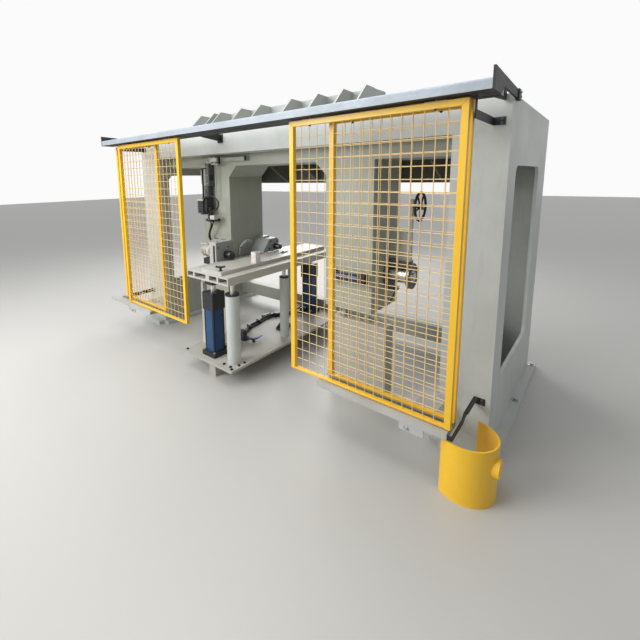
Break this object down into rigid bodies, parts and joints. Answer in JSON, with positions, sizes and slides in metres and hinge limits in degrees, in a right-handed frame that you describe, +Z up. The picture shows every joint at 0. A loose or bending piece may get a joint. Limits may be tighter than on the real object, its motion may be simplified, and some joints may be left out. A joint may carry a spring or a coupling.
{
  "type": "rolling mill stand",
  "caption": "Welded portal stand of a rolling mill with sliding mesh guard doors, a lift table, work heads, a drum and a handwheel.",
  "frame": {"origin": "on the floor, at the centre of the four outer anchor holes of the base plates", "axes": "+X along the stand to its right end, +Y from the front to the back, +Z up"},
  "size_m": [3.756, 1.887, 2.229],
  "materials": {
    "grey_paint": "satin",
    "light_grey_paint": "satin",
    "dark_grey_paint": "satin",
    "galvanised": "satin",
    "black_paint": "satin",
    "yellow_paint": "satin",
    "pale_yellow_paint": "satin",
    "blue_paint": "satin",
    "black_rubber": "matte",
    "bright_steel": "polished"
  },
  "bodies": {
    "frame": {"base_plates": "dark_grey_paint", "outer_side_plates": "grey_paint", "inner_side_plates": "grey_paint", "front_columns": "grey_paint", "rear_columns": "grey_paint", "front_beam": "grey_paint", "inner_columns": "grey_paint", "inner_beam": "grey_paint", "rear_beam": "grey_paint", "lower_rear_beam": "grey_paint", "roof_plate": "grey_paint", "roof_bridge": "grey_paint", "roof_ribs": "grey_paint", "door_track": "galvanised", "track_ends": "black_paint", "strap_brackets": "black_paint", "guide_rails": "galvanised", "corner_guard": "yellow_paint", "column_pedestals": "light_grey_paint", "table_base": "grey_paint", "table_guides": "grey_paint", "lift_barrels": "blue_paint", "lift_end_blocks": "black_paint", "table_hoses": "black_rubber", "head_block": "light_grey_paint", "side_head": "dark_grey_paint", "cross_bar": "grey_paint", "vertical_drive": "black_paint", "drive_cable": "black_rubber", "wheel_post": "dark_grey_paint", "drum_seat": "black_paint", "drum_cover": "light_grey_paint", "side_cylinder": "blue_paint"},
    "right_front_door_body": {"right_front_door": "yellow_paint", "right_front_mesh": "pale_yellow_paint"},
    "right_rear_door_body": {"right_rear_door": "yellow_paint", "right_rear_mesh": "pale_yellow_paint"},
    "left_front_door_body": {"left_front_door": "yellow_paint", "left_front_mesh": "pale_yellow_paint"},
    "left_rear_door_body": {"left_rear_door": "yellow_paint", "left_rear_mesh": "pale_yellow_paint"},
    "table_body": {"table_top": "light_grey_paint", "table_rods": "bright_steel"},
    "handwheel_body": {"handwheel": "black_paint"},
    "drum_body": {"drum": "bright_steel"}
  },
  "joints": [
    {"name": "right_front_door_slide", "type": "slide", "parent": "frame", "child": "right_front_door_body", "axis": [1, 0, 0], "range_m": [-0.57, 0]},
    {"name": "right_rear_door_slide", "type": "slide", "parent": "frame", "child": "right_rear_door_body", "axis": [1, 0, 0], "range_m": [-0.62, 0]},
    {"name": "left_front_door_slide", "type": "slide", "parent": "frame", "child": "left_front_door_body", "axis": [1, 0, 0], "range_m": [-0.2, 0.02]},
    {"name": "left_rear_door_slide", "type": "slide", "parent": "frame", "child": "left_rear_door_body", "axis": [1, 0, 0], "range_m": [0, 0.46]},
    {"name": "table_lift", "type": "slide", "parent": "frame", "child": "table_body", "axis": [0, 0, 1], "range_m": [-0.06, 0]},
    {"name": "handwheel_turn", "type": "hinge", "parent": "frame", "child": "handwheel_body", "pos_m": [1.145, -0.25, 1.39], "axis": [1, 0, 0], "continuous": true},
    {"name": "drum_turn", "type": "hinge", "parent": "frame", "child": "drum_body", "pos_m": [0.96, -0.25, 0.876], "axis": [1, 0, 0], "continuous": true}
  ]
}
